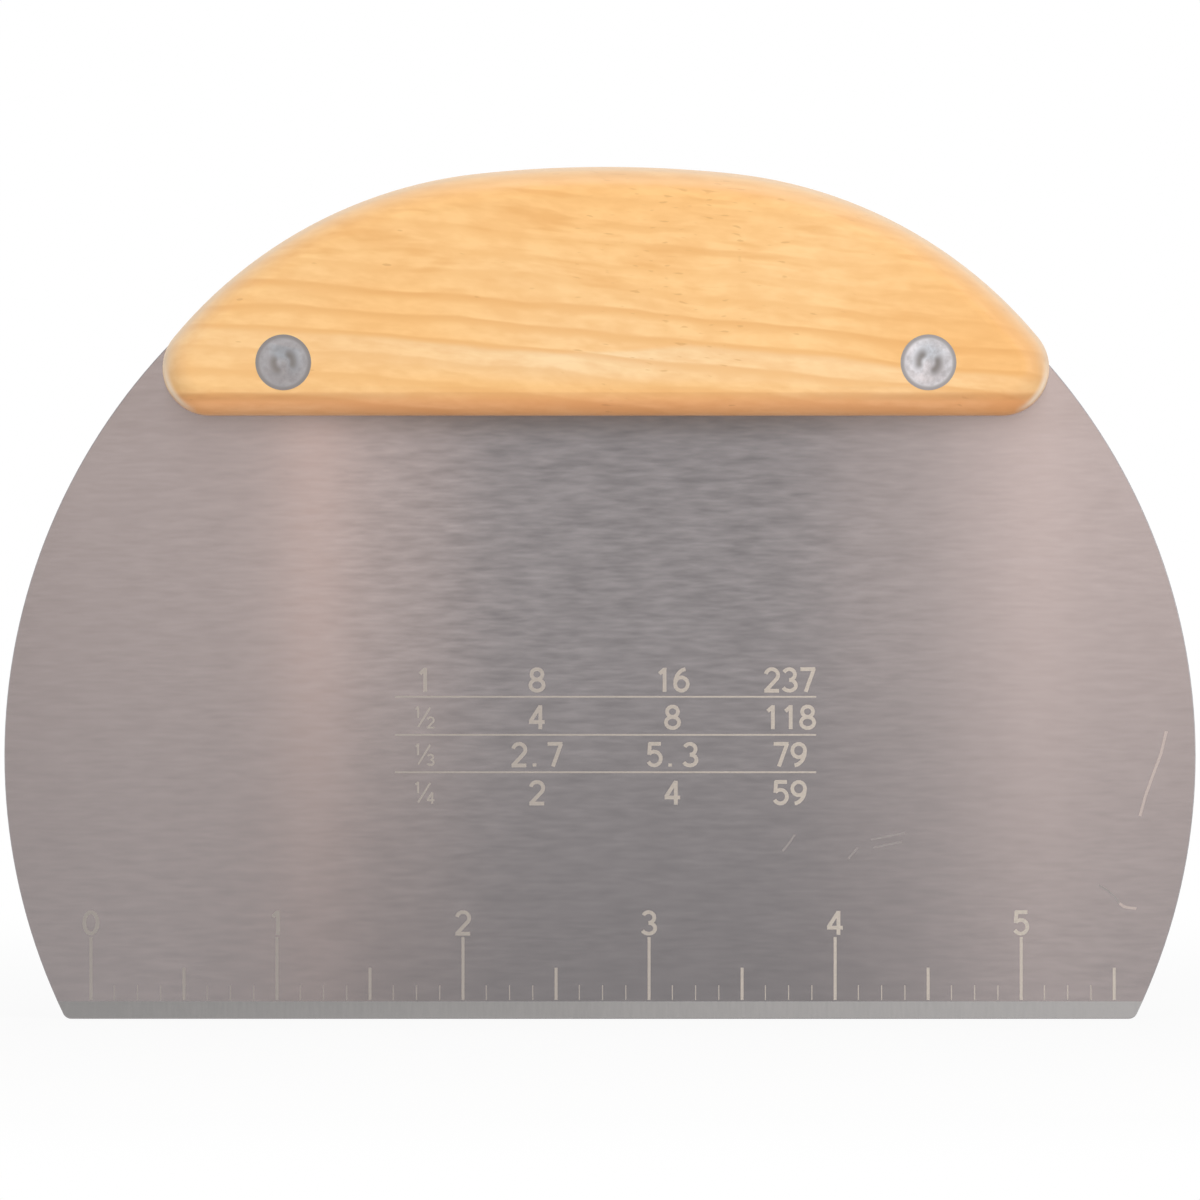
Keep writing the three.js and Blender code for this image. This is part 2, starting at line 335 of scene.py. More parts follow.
def ground_steel(settings):
    """The same steel off a grinding wheel: short marks across the edge, and painted light that makes it
    lighter towards the right.
    """
    material, add = add_material("Ground stainless steel")
    place = add("ShaderNodeTexCoord").node.outputs["Object"]
    axes = add("ShaderNodeSeparateXYZ", {"Vector": place}).node.outputs

    # The marks are drawn coarser than the wheel's grit, so that they show
    wheel = add("ShaderNodeMapping", {"Vector": place, "Scale": per_metre(*WHEEL_MARK)})
    marks = add("ShaderNodeTexNoise", {"Vector": wheel, "Scale": 1.0, "Detail": 3.0, "Roughness": 0.6})
    # Painted light: the band's colour grows lighter from left to right
    lit = add("ShaderNodeMapRange", {"Value": axes["X"], RANGE: GROUND_LIGHTING})
    streaks = add("ShaderNodeMapRange", {"Value": marks, RANGE: GROUND_STREAKS})
    shade = add("ShaderNodeMath", {0: lit, 1: streaks}, operation="ADD", use_clamp=True)
    dark, bright = (with_alpha(settings.ground_steel, brightness) for brightness in GROUND_SHADES)
    colour = add("ShaderNodeMix", {"Factor": shade, "A": dark, "B": bright}, data_type="RGBA")
    roughness = add("ShaderNodeMapRange", {"Value": marks, RANGE: GROUND_ROUGHNESS})
    bump = add("ShaderNodeBump", {"Height": marks, "Strength": 0.15, "Distance": MARK_DEPTH})
    surface = add(
        "ShaderNodeBsdfPrincipled",
        {"Base Color": colour, "Metallic": 1.0, "Roughness": roughness, "Normal": bump},
    )
    add("ShaderNodeOutputMaterial", {"Surface": surface})
    return material


# Lie of the growth rings: level at the left end, then falling to the right, and slanting through the handle
RINGS_LEVEL_TO = -40 * MM
RINGS_BEND = 40 * MM
RINGS_FALL = 0.105
RINGS_SLANT = 0.25
RINGS_WANDER = (0.0, 1.0, -1.2 * MM, 1.2 * MM)
RINGS_WAVER = (0.0, 1.0, -1.0 * MM, 1.0 * MM)
# Sizes of the grain along X, Y and Z. A fleck's length is a setting, so only its depth and height stand here
TONE_SIZE = (70 * MM, 30 * MM, 24 * MM)
FIBRE_SIZE = (4.0 * MM, 1.2 * MM, 1.3 * MM)
STREAK_SIZE = (9 * MM, 2 * MM, 1.2 * MM)
FLECK_ACROSS = (0.6 * MM, 0.5 * MM)


def beech_growth(add, place, axes):
    """Growth, the height of a point's ring at the left end of the front face, and the drift of the tone."""
    broad = add("ShaderNodeMapping", {"Vector": place, "Scale": per_metre(*TONE_SIZE)})
    drift = add("ShaderNodeTexNoise", {"Vector": broad, "Scale": 1.0})
    ripple = add("ShaderNodeTexNoise", {"Vector": broad, "Scale": 4.0})
    beyond = add("ShaderNodeMath", {0: axes["X"], 1: RINGS_LEVEL_TO}, operation="SUBTRACT")
    slope = add("ShaderNodeMath", {0: beyond, 1: 0.0, 2: RINGS_BEND}, operation="SMOOTH_MAX")
    depth = add("ShaderNodeMath", {0: axes["Y"], 1: HANDLE_LOW.y}, operation="SUBTRACT")
    growth = axes["Z"]
    for distance, share in ((slope, RINGS_FALL), (depth, RINGS_SLANT)):
        growth = add("ShaderNodeMath", {0: distance, 1: share, 2: growth}, operation="MULTIPLY_ADD")
    for noise, limits in ((drift, RINGS_WANDER), (ripple, RINGS_WAVER)):
        wander = add("ShaderNodeMapRange", {"Value": noise, RANGE: limits})
        growth = add("ShaderNodeMath", {0: growth, 1: wander}, operation="ADD")
    return growth, drift


# A ring line rises slowly and drops fast. It fades below and above these heights of growth
RING_RISE = (0.4, 0.85)
RING_DROP = (0.85, 1.0, 1.0, 0.0)
RING_BOLDNESS = (0.0, 1.0, 0.45, 0.9)
RING_BREAKS = (0.3, 0.6, 0.45, 1.0)
RING_LOWEST = (92.5 * MM, 94.5 * MM, 0.6, 1.0)
RING_HIGHEST = (99 * MM, 107 * MM, 1.0, 0.25)


def beech_rings(add, settings, growth, broken):
    """Ring lines, some bolder than others, broken by the fibre, and boldest above the palest wood."""
    above = add("ShaderNodeMath", {0: growth, 1: settings.ring_height}, operation="SUBTRACT")
    rings = add("ShaderNodeMath", {0: above, 1: settings.ring_spacing}, operation="DIVIDE")
    phase = add("ShaderNodeMath", {0: rings}, operation="FRACT")
    number = add("ShaderNodeMath", {0: rings}, operation="FLOOR")
    chance = add("ShaderNodeTexWhiteNoise", {"W": number}, noise_dimensions="1D")
    line = add("ShaderNodeMapRange", {"Value": phase, RANGE: RING_RISE}, interpolation_type="SMOOTHSTEP")
    drop = add("ShaderNodeMapRange", {"Value": phase, RANGE: RING_DROP}, interpolation_type="SMOOTHSTEP")
    bold = add("ShaderNodeMapRange", {"Value": chance, RANGE: RING_BOLDNESS})
    not_low = add("ShaderNodeMapRange", {"Value": growth, RANGE: RING_LOWEST})
    not_high = add("ShaderNodeMapRange", {"Value": growth, RANGE: RING_HIGHEST})
    for factor in (drop, bold, broken, not_low, not_high):
        line = add("ShaderNodeMath", {0: line, 1: factor}, operation="MULTIPLY")
    return line


# Streaks, by the noise and by height of growth
STREAK_SHARE = (0.5, 0.72, 0.0, 0.35)
STREAK_GROWTH = (98 * MM, 106 * MM)


def beech_streaks(add, grain, growth):
    """Short broken streaks in the upper growth, where the rings are faint."""
    stretched = add("ShaderNodeMapping", {"Vector": grain, "Scale": per_metre(*STREAK_SIZE)})
    noise = add("ShaderNodeTexNoise", {"Vector": stretched, "Scale": 1.0, "Detail": 1.0})
    streak = add("ShaderNodeMapRange", {"Value": noise, RANGE: STREAK_SHARE}, interpolation_type="SMOOTHSTEP")
    high = add("ShaderNodeMapRange", {"Value": growth, RANGE: STREAK_GROWTH})
    return add("ShaderNodeMath", {0: streak, 1: high}, operation="MULTIPLY")


# Middle of the patch of flecks, what nearness to it adds to the noise, and where the noise becomes a fleck
FLECK_PATCH = (12 * MM, HANDLE_LOW.y, 104 * MM)
FLECK_GAIN = (8 * MM, 30 * MM, 0.1, 0.0)
FLECK_SHARE = (0.8, 0.9, 0.0, 0.45)


def beech_flecks(add, settings, place, grain):
    """Ray flecks, most of them in one patch to the right of the middle."""
    size = per_metre(settings.fleck_length, *FLECK_ACROSS)
    stretched = add("ShaderNodeMapping", {"Vector": grain, "Scale": size})
    noise = add("ShaderNodeTexNoise", {"Vector": stretched, "Scale": 1.0, "Detail": 0.0})
    from_patch = add("ShaderNodeVectorMath", {0: place, 1: FLECK_PATCH}, operation="DISTANCE")
    near = add("ShaderNodeMapRange", {"Value": from_patch, RANGE: FLECK_GAIN})
    fleck = add("ShaderNodeMath", {0: noise, 1: near}, operation="ADD")
    return add("ShaderNodeMapRange", {"Value": fleck, RANGE: FLECK_SHARE}, interpolation_type="SMOOTHSTEP")


# The palest wood: where it steps up by a ring, its top and fading by growth, and its middle and ends
PALE_STEP = (-5 * MM, 12 * MM)
PALE_TOP = (94.2 * MM, 95 * MM, 1.0, 0.0)
PALE_FADING = (88 * MM, 94 * MM, 0.1, 0.65)
PALE_MIDDLE = 8 * MM
PALE_ENDS = (30 * MM, 55 * MM, 1.0, 0.35)
# The paler middle of the handle, by distance from the middle and by height of growth
CENTRE_REACH = (6 * MM, 24 * MM, 0.3, 0.0)
CENTRE_GROWTH = (97 * MM, 105 * MM, 1.0, 0.0)
# Both fade above the rolled lower edge, along a line that falls a little to the right
ROLL_FALL = 0.05
ROLL_HEIGHTS = (HANDLE_LOW.z + 3.6 * MM, HANDLE_LOW.z + 5.9 * MM, 0.15, 1.0)


def pale_beech(add, settings, axes, aside, growth):
    """The palest wood: under one ring line, or under the next one up at the right, and in the middle."""
    steps = (*PALE_STEP, 0.0, settings.ring_spacing)
    step_up = add("ShaderNodeMapRange", {"Value": axes["X"], RANGE: steps})
    palest = add("ShaderNodeMath", {0: growth, 1: step_up}, operation="SUBTRACT")
    pale = add("ShaderNodeMapRange", {"Value": palest, RANGE: PALE_TOP}, interpolation_type="SMOOTHSTEP")
    fading = add("ShaderNodeMapRange", {"Value": palest, RANGE: PALE_FADING})
    from_palest = add("ShaderNodeMath", {0: axes["X"], 1: PALE_MIDDLE}, operation="SUBTRACT")
    from_palest = add("ShaderNodeMath", {0: from_palest}, operation="ABSOLUTE")
    span = add("ShaderNodeMapRange", {"Value": from_palest, RANGE: PALE_ENDS})
    central = add("ShaderNodeMapRange", {"Value": aside, RANGE: CENTRE_REACH})
    below = add("ShaderNodeMapRange", {"Value": growth, RANGE: CENTRE_GROWTH})
    for factor in (fading, span):
        pale = add("ShaderNodeMath", {0: pale, 1: factor}, operation="MULTIPLY")
    pale = add("ShaderNodeMath", {0: central, 1: below, 2: pale}, operation="MULTIPLY_ADD", use_clamp=True)
    lowered = add("ShaderNodeMath", {0: axes["X"], 1: ROLL_FALL, 2: axes["Z"]}, operation="MULTIPLY_ADD")
    over_roll = add("ShaderNodeMapRange", {"Value": lowered, RANGE: ROLL_HEIGHTS})
    return add("ShaderNodeMath", {0: pale, 1: over_roll}, operation="MULTIPLY")


# A painted line of shade on the lower edge's roll: its height, its width, and where it is clear, by distance
# from the middle
SHADE_LINE_HEIGHT = HANDLE_LOW.z + 2.6 * MM
SHADE_LINE_WIDTH = (0.1 * MM, 0.8 * MM, 0.7, 0.0)
SHADE_LINE_REACH = (20 * MM, 45 * MM, 0.0, 0.8)


def cutter_seam(add, axes, aside, broken):
    """A painted dark line of shade along the lower edge's roll, clearest towards the ends."""
    from_shade_line = add("ShaderNodeMath", {0: axes["Z"], 1: SHADE_LINE_HEIGHT}, operation="SUBTRACT")
    from_shade_line = add("ShaderNodeMath", {0: from_shade_line}, operation="ABSOLUTE")
    shade_line = add("ShaderNodeMapRange", {"Value": from_shade_line, RANGE: SHADE_LINE_WIDTH}, interpolation_type="SMOOTHSTEP")
    clear = add("ShaderNodeMapRange", {"Value": aside, RANGE: SHADE_LINE_REACH})
    for factor in (clear, broken):
        shade_line = add("ShaderNodeMath", {0: shade_line, 1: factor}, operation="MULTIPLY")
    return shade_line


# The handle's own attribute that says which way its surface faces
FACING = "facing"
# Painted light, by how far the surface faces forward or back, up or down, or sideways, and by place along the
# handle
PAINTED_UPWARD = (-0.4, 0.1)
ROLL_SHADE_TURN = (0.9, 0.995, 0.32, 0.0)
ROLL_SHADE_INNER = (0.5, 0.7)
ROLL_SHADE_RIGHT = (-50 * MM, 0.0, 0.5, 1.0)
SHEEN_TURN = (0.4, 0.9, 0.8, 0.0)
SHEEN_OUTER = (0.0, 0.3, 0.65, 1.0)
HIGHLIGHT_TURN = (0.45, 0.7, 0.8, 0.0)
HIGHLIGHT_INNER = (0.05, 0.4)
HIGHLIGHT_SIDEWAYS = (0.25, 0.6)
HIGHLIGHT_DOWNWARD = (-0.3, 0.15, 1.0, 0.0)


def handle_wear(add, axes):
    """Shares of painted light: painted shade on the start of the rolled edges, a painted sheen on their
    outside, and painted highlights on the lower corners.
    """
    normal = add("ShaderNodeAttribute", attribute_name=FACING).node.outputs["Vector"]
    facing = add("ShaderNodeSeparateXYZ", {"Vector": normal}).node.outputs
    forward = add("ShaderNodeMath", {0: facing["Y"]}, operation="ABSOLUTE")
    sideways = add("ShaderNodeMath", {0: facing["X"]}, operation="ABSOLUTE")
    upward = add("ShaderNodeMapRange", {"Value": facing["Z"], RANGE: PAINTED_UPWARD})

    handled = add("ShaderNodeMapRange", {"Value": forward, RANGE: ROLL_SHADE_TURN})
    not_outer = add("ShaderNodeMapRange", {"Value": forward, RANGE: ROLL_SHADE_INNER})
    rightward = add("ShaderNodeMapRange", {"Value": axes["X"], RANGE: ROLL_SHADE_RIGHT})
    dulled = add("ShaderNodeMapRange", {"Value": forward, RANGE: SHEEN_TURN})
    less_at_rim = add("ShaderNodeMapRange", {"Value": forward, RANGE: SHEEN_OUTER})
    rubbed = add(
        "ShaderNodeMapRange", {"Value": forward, RANGE: HIGHLIGHT_TURN}, interpolation_type="SMOOTHSTEP"
    )
    corner = add("ShaderNodeMapRange", {"Value": sideways, RANGE: HIGHLIGHT_SIDEWAYS})
    inner = add("ShaderNodeMapRange", {"Value": forward, RANGE: HIGHLIGHT_INNER})
    down = add("ShaderNodeMapRange", {"Value": facing["Z"], RANGE: HIGHLIGHT_DOWNWARD})

    for factor in (upward, not_outer, rightward):
        handled = add("ShaderNodeMath", {0: handled, 1: factor}, operation="MULTIPLY")
    for factor in (upward, less_at_rim):
        dulled = add("ShaderNodeMath", {0: dulled, 1: factor}, operation="MULTIPLY")
    for factor in (corner, inner, down):
        rubbed = add("ShaderNodeMath", {0: rubbed, 1: factor}, operation="MULTIPLY")
    return handled, dulled, rubbed


# Tone of the beech: its warm right end, its drift and its fibre, and the limits of the painted underside
# shade as shares of its height
WARM_END = (30 * MM, 60 * MM)
WARM_DRIFT = (0.4, 0.65)
END_SHARE = 0.3
FIBRE_SHARE = (0.35, 0.65, 0.3, 0.0)
UNDERSIDE_SHADE_FROM = 0.4
UNDERSIDE_SHADE_TO = 1.2
# Its surface: roughness, depth of the grain, and the fibre's part in that beside the ring lines
BEECH_ROUGHNESS = (0.3, 0.7, 0.55, 0.45)
GRAIN_DEPTH = 0.05 * MM
FIBRE_RELIEF = 0.4


def oiled_beech(settings):
    """Oil-finished sanded beech: pale gold with thin ring lines, fine fibre and a few short ray flecks."""
    material, add = add_material("Oiled beech")
    place = add("ShaderNodeTexCoord").node.outputs["Object"]
    axes = add("ShaderNodeSeparateXYZ", {"Vector": place}).node.outputs
    aside = add("ShaderNodeMath", {0: axes["X"]}, operation="ABSOLUTE")
    growth, drift = beech_growth(add, place, axes)
    grain = add("ShaderNodeCombineXYZ", {"X": axes["X"], "Y": axes["Y"], "Z": growth})
    along = add("ShaderNodeMapping", {"Vector": grain, "Scale": per_metre(*FIBRE_SIZE)})
    fibre = add("ShaderNodeTexNoise", {"Vector": along, "Scale": 1.0, "Detail": 2.0, "Roughness": 0.55})
    fibre_tone = add("ShaderNodeMapRange", {"Value": fibre, RANGE: FIBRE_SHARE})
    broken = add("ShaderNodeMapRange", {"Value": fibre, RANGE: RING_BREAKS})
    line = beech_rings(add, settings, growth, broken)

    # The right end is warmer, and elsewhere the tone drifts
    end = add("ShaderNodeMapRange", {"Value": axes["X"], RANGE: WARM_END})
    warm = add("ShaderNodeMapRange", {"Value": drift, RANGE: WARM_DRIFT})
    warm = add("ShaderNodeMath", {0: warm, 1: end}, operation="ADD", use_clamp=True)
    end_tone = add("ShaderNodeMath", {0: end, 1: END_SHARE}, operation="MULTIPLY")

    # Painted shade: the underside is tinted darker and redder, with the warm cast of light bounced from the
    # steel
    heights = [HANDLE_LOW.z + share * settings.oil_height for share in (UNDERSIDE_SHADE_FROM, UNDERSIDE_SHADE_TO)]
    underside_range = (*heights, 1.0, 0.0)
    underside_shade = add("ShaderNodeMapRange", {"Value": axes["Z"], RANGE: underside_range}, interpolation_type="SMOOTHSTEP")
    # Painted shade on the rolled edges' start, a painted sheen on their outside and painted highlights on the
    # lower corners
    handled, dulled, rubbed = handle_wear(add, axes)
    colour = with_alpha(settings.early_wood)
    layers = (
        (warm, settings.warm_wood, "MIX"),
        (end_tone, settings.ring_wood, "MIX"),
        (pale_beech(add, settings, axes, aside, growth), settings.pale_wood, "MIX"),
        (line, settings.ring_wood, "MIX"),
        (fibre_tone, settings.ring_wood, "MIX"),
        (beech_streaks(add, grain, growth), settings.ring_wood, "MIX"),
        (cutter_seam(add, axes, aside, broken), settings.fleck, "MIX"),
        (beech_flecks(add, settings, place, grain), settings.fleck, "MIX"),
        (underside_shade, settings.oil, "MULTIPLY"),
        (handled, settings.handled, "MIX"),
        (dulled, settings.dulled, "MIX"),
        (rubbed, settings.rubbed, "MIX"),
    )
    for factor, tone, blend in layers:
        colour = add(
            "ShaderNodeMix",
            {"Factor": factor, "A": colour, "B": with_alpha(tone)},
            data_type="RGBA",
            blend_type=blend,
        )

    roughness = add("ShaderNodeMapRange", {"Value": fibre, RANGE: BEECH_ROUGHNESS})
    relief = add("ShaderNodeMath", {0: fibre, 1: FIBRE_RELIEF, 2: line}, operation="MULTIPLY_ADD")
    bump = add("ShaderNodeBump", {"Height": relief, "Strength": 0.12, "Distance": GRAIN_DEPTH})
    surface = add(
        "ShaderNodeBsdfPrincipled",
        {
            "Base Color": colour,
            "Roughness": roughness,
            "IOR": 1.45,
            "Coat Weight": 0.25,
            "Coat Roughness": 0.2,
            "Normal": bump,
        },
    )
    add("ShaderNodeOutputMaterial", {"Surface": surface})
    return material


# Painted shade in the setting punch's mark in a rivet's head: a ring in two lobes, which lie askew
PUNCH_RADIUS = 1.9 * MM
PUNCH_TURN = math.radians(20)
PUNCH_LOBES = (0.2, 0.9)
PUNCH_OUTSIDE = (0.2 * PUNCH_RADIUS, 0.65 * PUNCH_RADIUS)
PUNCH_INSIDE = (0.65 * PUNCH_RADIUS, 1.4 * PUNCH_RADIUS, 0.9, 0.0)
# Painted shade round a head's rim, dirt in scuffs all over it, its roughness, and the turning marks' part in
# its relief
RIM_SHADE = (0.8 * HEAD_RADIUS, 0.96 * HEAD_RADIUS, 0.0, 0.7)
SCUFF_SIZE = 0.8 * MM
SCUFF_DIRT = (0.35, 0.65, 0.35, 0.0)
HEAD_ROUGHNESS = (0.35, 0.65, 0.4, 0.3)
TURNING_RELIEF = 0.3


def turned_aluminium(settings):
    """Aluminium rivet heads: bright grey with faint rings from turning, painted shade in the punch mark and
    round the rim, and the left head painted darker.
    """
    material, add = add_material("Turned aluminium")
    place = add("ShaderNodeTexCoord").node.outputs["Object"]
    axes = add("ShaderNodeSeparateXYZ", {"Vector": place}).node.outputs

    # Distance from the axis of the nearer rivet
    from_middle = add("ShaderNodeMath", {0: axes["X"], 1: HANDLE_MIDDLE}, operation="SUBTRACT")
    aside = add("ShaderNodeMath", {0: from_middle}, operation="ABSOLUTE")
    across = add("ShaderNodeMath", {0: aside, 1: RIVET_REACH}, operation="SUBTRACT")
    up = add("ShaderNodeMath", {0: axes["Z"], 1: RIVET_CENTRE.z}, operation="SUBTRACT")
    arm = add("ShaderNodeCombineXYZ", {"X": across, "Y": up})
    radius = add("ShaderNodeVectorMath", {0: arm}, operation="LENGTH")

    # Turning left fine rings, and use has scuffed them
    rings = add("ShaderNodeMath", {0: radius, 1: 2 * math.pi / settings.turning}, operation="MULTIPLY")
    rings = add("ShaderNodeMath", {0: rings}, operation="SINE")
    grain = add("ShaderNodeMapping", {"Vector": place, "Scale": per_metre(*[SCUFF_SIZE] * 3)})
    scuff = add("ShaderNodeTexNoise", {"Vector": grain, "Scale": 1.0, "Detail": 3.0, "Roughness": 0.6})

    # Painted shade: the left head is coloured darker than the right one, in place of weaker light on it
    side = add("ShaderNodeMapRange", {"Value": from_middle, RANGE: (-RIVET_REACH, RIVET_REACH)})
    dull, bright = with_alpha(settings.dull), with_alpha(settings.bright)
    metal = add("ShaderNodeMix", {"Factor": side, "A": dull, "B": bright}, data_type="RGBA")

    # Painted shade lies in the punch mark and round the rim, and dirt in the scuffs
    tilted = add("ShaderNodeVectorRotate", {"Vector": arm, "Angle": PUNCH_TURN}, rotation_type="Z_AXIS")
    towards = add("ShaderNodeVectorMath", {0: tilted}, operation="NORMALIZE")
    lobes = add("ShaderNodeSeparateXYZ", {"Vector": towards}).node.outputs
    beside = add("ShaderNodeMath", {0: lobes["X"]}, operation="ABSOLUTE")
    shade_and_dirt = add("ShaderNodeMapRange", {"Value": beside, RANGE: PUNCH_LOBES}, interpolation_type="SMOOTHSTEP")
    for limits in (PUNCH_INSIDE, PUNCH_OUTSIDE):
        share = add("ShaderNodeMapRange", {"Value": radius, RANGE: limits}, interpolation_type="SMOOTHSTEP")
        shade_and_dirt = add("ShaderNodeMath", {0: shade_and_dirt, 1: share}, operation="MULTIPLY")
    rim = add("ShaderNodeMapRange", {"Value": radius, RANGE: RIM_SHADE}, interpolation_type="SMOOTHSTEP")
    scuffed = add("ShaderNodeMapRange", {"Value": scuff, RANGE: SCUFF_DIRT})
    for other in (rim, scuffed):
        shade_and_dirt = add("ShaderNodeMath", {0: shade_and_dirt, 1: other}, operation="MAXIMUM")
    unshaded_and_clean = add("ShaderNodeMath", {0: 1.0, 1: shade_and_dirt}, operation="SUBTRACT")
    grime = with_alpha(settings.grime)
    colour = add("ShaderNodeMix", {"Factor": shade_and_dirt, "A": metal, "B": grime}, data_type="RGBA")
    roughness = add("ShaderNodeMapRange", {"Value": scuff, RANGE: HEAD_ROUGHNESS})
    relief = add("ShaderNodeMath", {0: rings, 1: TURNING_RELIEF, 2: scuff}, operation="MULTIPLY_ADD")
    bump = add("ShaderNodeBump", {"Height": relief, "Strength": 0.15, "Distance": MARK_DEPTH})
    surface = add(
        "ShaderNodeBsdfPrincipled",
        {"Base Color": colour, "Metallic": unshaded_and_clean, "Roughness": roughness, "Normal": bump},
    )
    add("ShaderNodeOutputMaterial", {"Surface": surface})
    return material


# Etched steel: where along the edge it is painted from darker to lighter, and the size, gaps and roughness of
# its frost
ETCH_LIGHTING = (-45 * MM, 30 * MM)
FROST_SIZE = (0.5 * MM, 0.5 * MM, 0.15 * MM)
FROST_GAPS = (0.3, 0.6, 0.5, 0.0)
FROST_ROUGHNESS = (0.0, 0.5, 0.5, 0.6)


def etched_steel(name, colour, shaded_colour):
    """Steel frosted by etching or by wear: pale and soft, with a fine broken grain, and, where its two
    colours differ, painted darker towards the left.
    """
    material, add = add_material(name)
    place = add("ShaderNodeTexCoord").node.outputs["Object"]
    axes = add("ShaderNodeSeparateXYZ", {"Vector": place}).node.outputs
    # Painted shade: the colour goes from the darker one at the left to the lighter one at the right
    lit_share = add("ShaderNodeMapRange", {"Value": axes["X"], RANGE: ETCH_LIGHTING})
    darker_tone, lit = with_alpha(shaded_colour), with_alpha(colour)
    frosted = add("ShaderNodeMix", {"Factor": lit_share, "A": darker_tone, "B": lit}, data_type="RGBA")

    # The frost is drawn coarser than etching leaves it, so that its gaps show
    grain = add("ShaderNodeMapping", {"Vector": place, "Scale": per_metre(*FROST_SIZE)})
    frost = add("ShaderNodeTexNoise", {"Vector": grain, "Scale": 1.0, "Detail": 3.0, "Roughness": 0.6})
    gap = add("ShaderNodeMapRange", {"Value": frost, RANGE: FROST_GAPS})
    broken = add("ShaderNodeMix", {"Factor": gap, "A": frosted, "B": darker_tone}, data_type="RGBA")
    roughness = add("ShaderNodeMapRange", {"Value": gap, RANGE: FROST_ROUGHNESS})
    surface = add(
        "ShaderNodeBsdfPrincipled", {"Base Color": broken, "Metallic": 1.0, "Roughness": roughness}
    )
    add("ShaderNodeOutputMaterial", {"Surface": surface})
    return material


def link_object(name, mesh):
    """A new object in the scene."""
    piece = bpy.data.objects.new(name, mesh)
    bpy.context.scene.collection.objects.link(piece)
    return piece


def plain_mesh(piece):
    """Replaces a piece's mesh by the result of its modifiers, and removes them."""
    depsgraph = bpy.context.evaluated_depsgraph_get()
    evaluated = piece.evaluated_get(depsgraph)
    result = bpy.data.meshes.new_from_object(evaluated, preserve_all_data_layers=True, depsgraph=depsgraph)
    result.name = piece.name
    piece.modifiers.clear()
    piece.data = result
    if not result.polygons:
        raise RuntimeError(f"{piece.name} came out empty")


# A CAD node's corners are merged within this distance, and its flat triangles are joined within this angle
MERGE_WITHIN = 0.002 * MM
FLAT_WITHIN = math.radians(0.2)


def copy_of_node(node, name, smooth_angle):
    """A piece with a CAD node's shape, merged into one skin and shaded smooth up to an angle."""
    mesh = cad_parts[node].data.copy()
    mesh.name = name
    mesh.materials.clear()
    skin = bmesh.new()
    skin.from_mesh(mesh)
    bmesh.ops.remove_doubles(skin, verts=skin.verts, dist=MERGE_WITHIN)
    bmesh.ops.dissolve_limit(skin, angle_limit=FLAT_WITHIN, verts=skin.verts, edges=skin.edges)
    skin.to_mesh(mesh)
    skin.free()
    mesh.shade_smooth()
    mesh.set_sharp_from_angle(angle=smooth_angle)
    return link_object(name, mesh)


def place_piece(piece, slot, *nodes):
    """Fixes a finished piece to the scraper, and hides the CAD nodes that it stands for."""
    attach(piece, "root")
    if nodes:
        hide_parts(*nodes)


# Angles up to which the blade, and the handle and rivets, are shaded smooth
BLADE_SMOOTH = math.radians(3)
ROUND_SMOOTH = math.radians(30)
# Edges of the blade that turn further than this are broken
BROKEN_FROM = math.radians(40)
BROKEN_SEGMENTS = 2
# Ground faces of the blade: how far they tilt up or down, and the height that they stay below
GROUND_TILT = (0.05, 0.4)
GROUND_TOP = 3 * MM


class SCRAPER_OT_blade(bpy.types.Operator):
    """Makes the brushed blade with its ground edge"""

    bl_idname = "scraper.blade"
    bl_label = "Blade"

    def execute(self, context):
        settings = context.scene.scraper_blade
        blade = copy_of_node("blade", "brushed_blade", BLADE_SMOOTH)
        edge = blade.modifiers.new("Broken edge", "BEVEL")
        edge.width = settings.edge_break
        edge.segments = BROKEN_SEGMENTS
        edge.limit_method = "ANGLE"
        edge.angle_limit = BROKEN_FROM
        edge.use_clamp_overlap = False
        edge.harden_normals = True
        plain_mesh(blade)
        blade.data.materials.append(brushed_steel(settings))
        blade.data.materials.append(ground_steel(settings))
        # The ground faces take the second material
        least, most = GROUND_TILT
        for face in blade.data.polygons:
            if least < abs(face.normal.z) < most and face.center.z < GROUND_TOP:
                face.material_index = 1
        place_piece(blade, "blade_steel", "blade")
        return {"FINISHED"}


class SCRAPER_OT_handle(bpy.types.Operator):
    """Makes the beech handle"""

    bl_idname = "scraper.handle"
    bl_label = "Handle"

    def execute(self, context):
        handle = copy_of_node("handle", "beech_handle", ROUND_SMOOTH)
        normals = handle.modifiers.new("Flat faces", "WEIGHTED_NORMAL")
        normals.keep_sharp = True
        plain_mesh(handle)
        facing = handle.data.attributes.new(FACING, "FLOAT_VECTOR", "CORNER")
        facing.data.foreach_set("vector", [x for normal in handle.data.corner_normals for x in normal.vector])
        handle.data.materials.append(oiled_beech(context.scene.scraper_handle))
        place_piece(handle, "handle_wood", "handle")
        return {"FINISHED"}


# Distance from a rivet's axis at which its head's rim starts
RIM_START = 0.9 * HEAD_RADIUS


class SCRAPER_OT_rivets(bpy.types.Operator):
    """Makes both halves of the two rivets"""

    bl_idname = "scraper.rivets"
    bl_label = "Rivets"

    def execute(self, context):
        settings = context.scene.scraper_rivets
        metal = turned_aluminium(settings)
        for node in RIVET_NODES:
            rivet = copy_of_node(node, f"turned_{node}", ROUND_SMOOTH)
            low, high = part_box(node)
            axis = (low + high) / 2
            face = low.y if node.endswith("post") else high.y
            # Riveting has spread the head's rim and pressed it flat
            for corner in rivet.data.vertices:
                out = Vector((corner.co.x - axis.x, 0.0, corner.co.z - axis.z))
                if out.length > RIM_START:
                    corner.co += settings.swell * out.normalized()
                    if abs(corner.co.y - face) < settings.rim:
                        corner.co.y = face
            rivet.data.materials.append(metal)
            place_piece(rivet, "rivet_metal", node)
        return {"FINISHED"}


